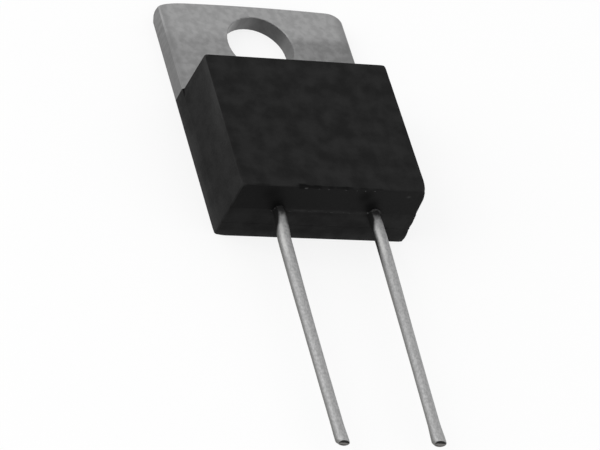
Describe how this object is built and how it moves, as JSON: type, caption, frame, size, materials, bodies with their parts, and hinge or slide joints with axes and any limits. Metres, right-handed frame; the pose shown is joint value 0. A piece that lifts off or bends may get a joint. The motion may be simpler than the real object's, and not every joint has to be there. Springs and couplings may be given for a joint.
{
  "type": "power resistor",
  "caption": "Flat-cased power resistor: a black moulded body on a metal heat-sink tab with a fixing hole, and straight round wire leads out of its far end.",
  "frame": {"origin": "centre of the mounting hole, in the mounting face on the back of the tab", "axes": "+Z out of the moulded front face, +Y from the leads to the free end of the tab, +X to the right seen from the front. The part lies on its mounting face, z = 0."},
  "size_m": [0.0102, 0.027, 0.0036],
  "materials": {
    "tab_plating": "satin plated",
    "case_compound": "moulded, fine matt",
    "lead_tinning": "tinned, drawn",
    "solder": "bright solder",
    "alumina": "sintered",
    "resistor_ink": "fired ink",
    "seal_glaze": "fired glaze",
    "termination_silver": "fired silver ink"
  },
  "bodies": {
    "root": {"mounting_tab": "tab_plating", "moulded_case": "case_compound", "lead_left": "lead_tinning", "lead_right": "lead_tinning", "plate_solder": "solder", "lead_solder_left": "solder", "lead_solder_right": "solder", "ceramic_plate": "alumina", "resistive_film": "resistor_ink", "film_glaze": "seal_glaze", "termination_left": "termination_silver", "termination_right": "termination_silver"}
  },
  "joints": []
}
